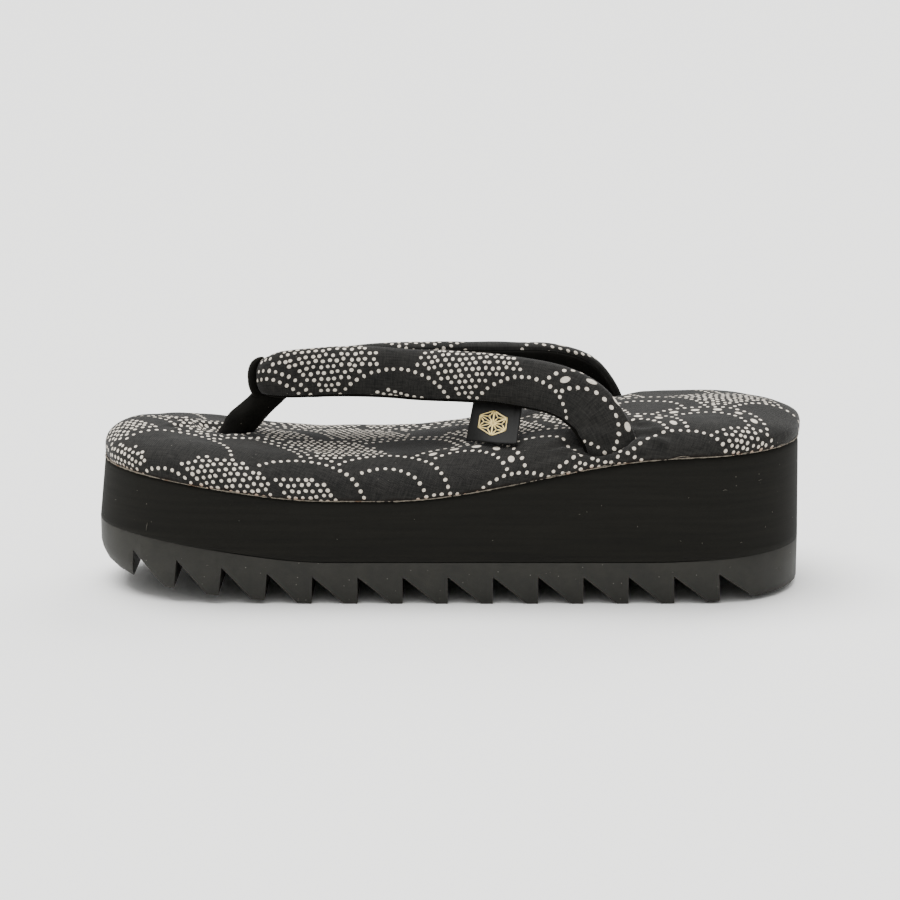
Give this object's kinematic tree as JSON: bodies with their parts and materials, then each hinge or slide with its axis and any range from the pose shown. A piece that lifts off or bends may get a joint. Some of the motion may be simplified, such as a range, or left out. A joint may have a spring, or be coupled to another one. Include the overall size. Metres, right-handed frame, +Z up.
{
  "type": "setta sandal",
  "caption": "Platform sandal with a padded cloth deck, a thick cloth and velvet V strap on a toe thong, a foam platform and a saw-toothed rubber tread.",
  "frame": {"origin": "on the floor, under the middle of the whole shoe", "axes": "+Z up, +X from the toe towards the heel, -Y the outer side of a left shoe, where the label hangs"},
  "size_m": [0.25, 0.0762, 0.0856],
  "materials": {
    "tread_rubber": "matte moulded microcellular rubber, tooth edges worn lighter",
    "platform_foam": "matte cut and buffed closed-cell foam",
    "printed_cloth": "plain-woven charcoal cotton with an off-white dotted print",
    "velvet": "black cotton velvet, short pile",
    "woven_ribbon": null
  },
  "bodies": {
    "root": {"outsole": "tread_rubber", "midsole": "platform_foam", "footbed": "printed_cloth", "strap": "printed_cloth", "thong": "velvet", "label": "woven_ribbon"}
  },
  "joints": []
}
